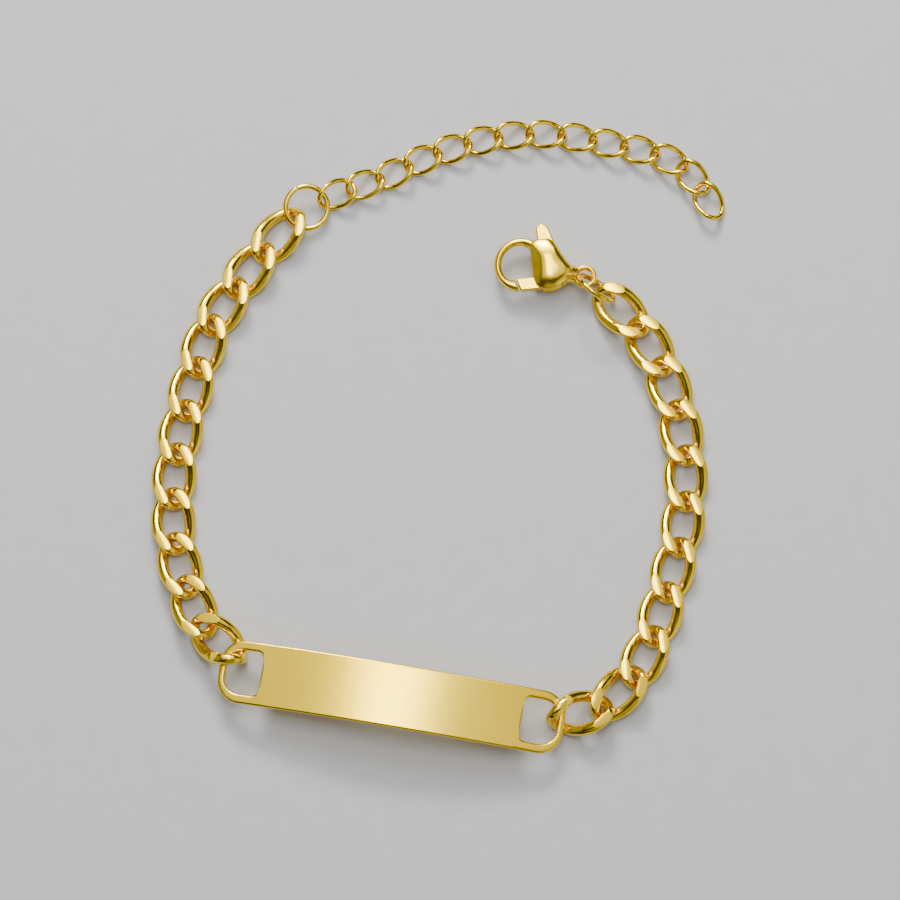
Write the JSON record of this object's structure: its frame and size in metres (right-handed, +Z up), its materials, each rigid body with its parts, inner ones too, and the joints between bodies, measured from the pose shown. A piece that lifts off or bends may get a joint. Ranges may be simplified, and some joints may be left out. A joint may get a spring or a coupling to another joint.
{
  "type": "id bracelet",
  "caption": "Curb chain bracelet with a bowed blank plate, an extender chain on a round jump ring and a lobster clasp, lying undone and flat.",
  "frame": {"origin": "middle of the whole outline seen from above, on the surface that the bracelet lies on", "axes": "+Z up from the surface, +X to the viewer's right, +Y away from the plate towards the extender chain"},
  "size_m": [0.064, 0.0718, 0.0047],
  "materials": {
    "gold": "polished"
  },
  "bodies": {
    "bracelet": {"id_plate": "gold", "left_curb_link_1": "gold", "left_curb_link_2": "gold", "left_curb_link_3": "gold", "left_curb_link_4": "gold", "left_curb_link_5": "gold", "left_curb_link_6": "gold", "left_curb_link_7": "gold", "left_curb_link_8": "gold", "left_curb_link_9": "gold", "left_curb_link_10": "gold", "left_curb_link_11": "gold", "right_curb_link_1": "gold", "right_curb_link_2": "gold", "right_curb_link_3": "gold", "right_curb_link_4": "gold", "right_curb_link_5": "gold", "right_curb_link_6": "gold", "right_curb_link_7": "gold", "right_curb_link_8": "gold", "right_curb_link_9": "gold", "right_curb_link_10": "gold", "right_curb_link_11": "gold", "extender_jump_ring": "gold", "extender_link_1": "gold", "extender_link_2": "gold", "extender_link_3": "gold", "extender_link_4": "gold", "extender_link_5": "gold", "extender_link_6": "gold", "extender_link_7": "gold", "extender_link_8": "gold", "extender_link_9": "gold", "extender_link_10": "gold", "extender_link_11": "gold", "extender_link_12": "gold", "extender_link_13": "gold", "extender_link_14": "gold", "clasp_jump_ring": "gold", "clasp_body": "gold", "clasp_rivet": "gold"},
    "lever": {"clasp_lever": "gold"}
  },
  "joints": [
    {"name": "lever_hinge", "type": "hinge", "parent": "bracelet", "child": "lever", "pos_m": [0.0122, 0.01835, 0.0016], "axis": [0, 0, 1], "range_deg": [-25, 0], "stiffness_Nm_per_rad": 0.002}
  ]
}
